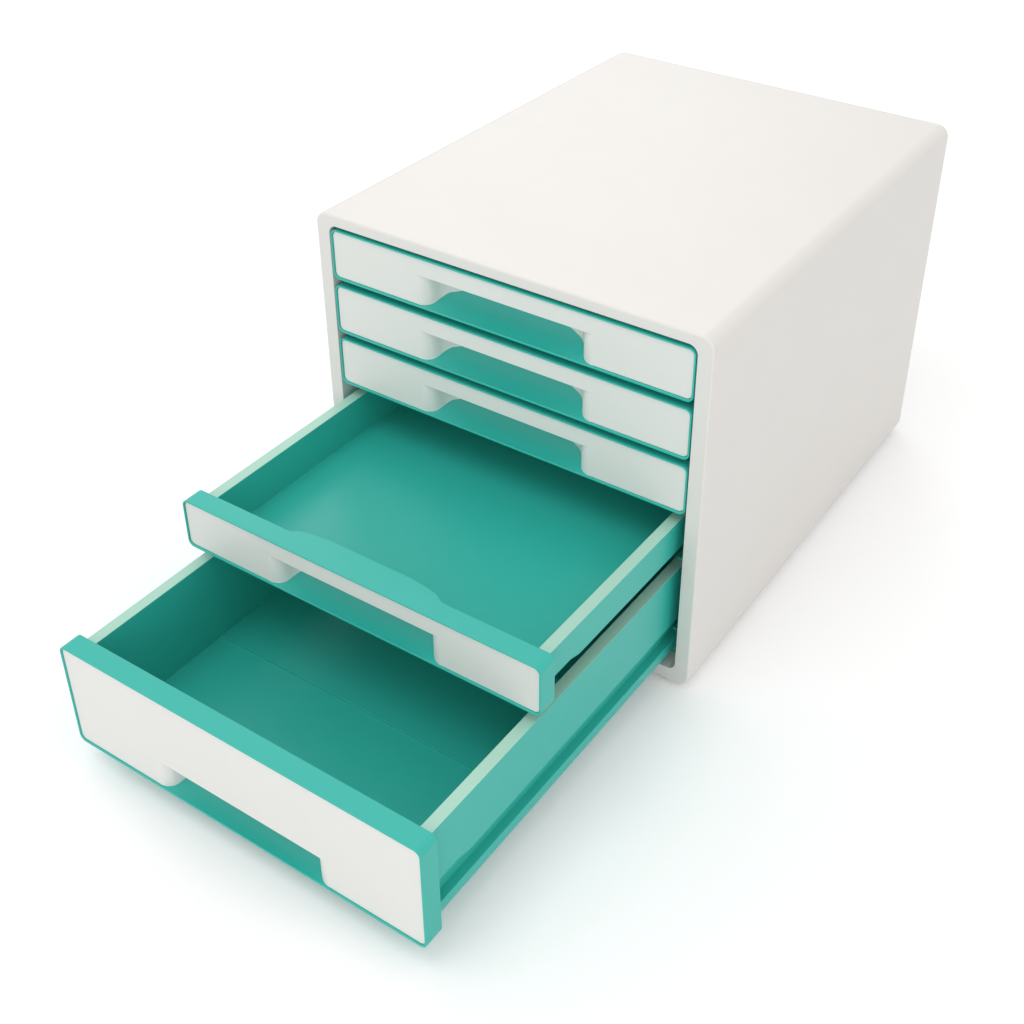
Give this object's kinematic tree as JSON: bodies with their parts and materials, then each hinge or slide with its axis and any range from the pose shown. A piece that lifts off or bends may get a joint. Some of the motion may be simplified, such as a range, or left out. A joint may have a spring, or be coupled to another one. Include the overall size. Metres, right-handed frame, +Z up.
{
  "type": "desktop drawer cabinet",
  "caption": "White desktop cabinet with teal trays: four shallow drawers over a deep one, each with a white front panel and a scooped finger grip.",
  "frame": {"origin": "on the table under the middle of the casing, half way between its front edge and its back", "axes": "+Z up, the drawers open towards -Y, and +X is to the right for someone facing the drawers"},
  "size_m": [0.287, 0.6216, 0.263],
  "materials": {
    "shell_white": "satin moulded ABS",
    "panel_white": "glossy moulded ABS",
    "drawer_teal": "satin moulded polystyrene",
    "rail_white": "matt moulded polypropylene",
    "foot_rubber": "matt",
    "screw_steel": "zinc plated"
  },
  "bodies": {
    "casing": {"casing": "shell_white", "rear_panel": "shell_white", "rear_panel_screws": "screw_steel", "rail_left": "rail_white", "rail_right": "rail_white", "foot_front_left": "foot_rubber", "foot_front_right": "foot_rubber", "foot_rear_left": "foot_rubber", "foot_rear_right": "foot_rubber"},
    "drawer_1": {"drawer_1": "drawer_teal", "front_panel_1": "panel_white"},
    "drawer_2": {"drawer_2": "drawer_teal", "front_panel_2": "panel_white"},
    "drawer_3": {"drawer_3": "drawer_teal", "front_panel_3": "panel_white"},
    "drawer_4": {"drawer_4": "drawer_teal", "front_panel_4": "panel_white"},
    "drawer_5": {"drawer_5": "drawer_teal", "front_panel_5": "panel_white"}
  },
  "joints": [
    {"name": "slide_1", "type": "slide", "parent": "casing", "child": "drawer_1", "axis": [0, -1, 0], "range_m": [0, 0.27]},
    {"name": "slide_2", "type": "slide", "parent": "casing", "child": "drawer_2", "axis": [0, -1, 0], "range_m": [0, 0.27]},
    {"name": "slide_3", "type": "slide", "parent": "casing", "child": "drawer_3", "axis": [0, -1, 0], "range_m": [0, 0.27]},
    {"name": "slide_4", "type": "slide", "parent": "casing", "child": "drawer_4", "axis": [0, -1, 0], "range_m": [-0.1526, 0.1174]},
    {"name": "slide_5", "type": "slide", "parent": "casing", "child": "drawer_5", "axis": [0, -1, 0], "range_m": [-0.2586, 0.0114]}
  ]
}
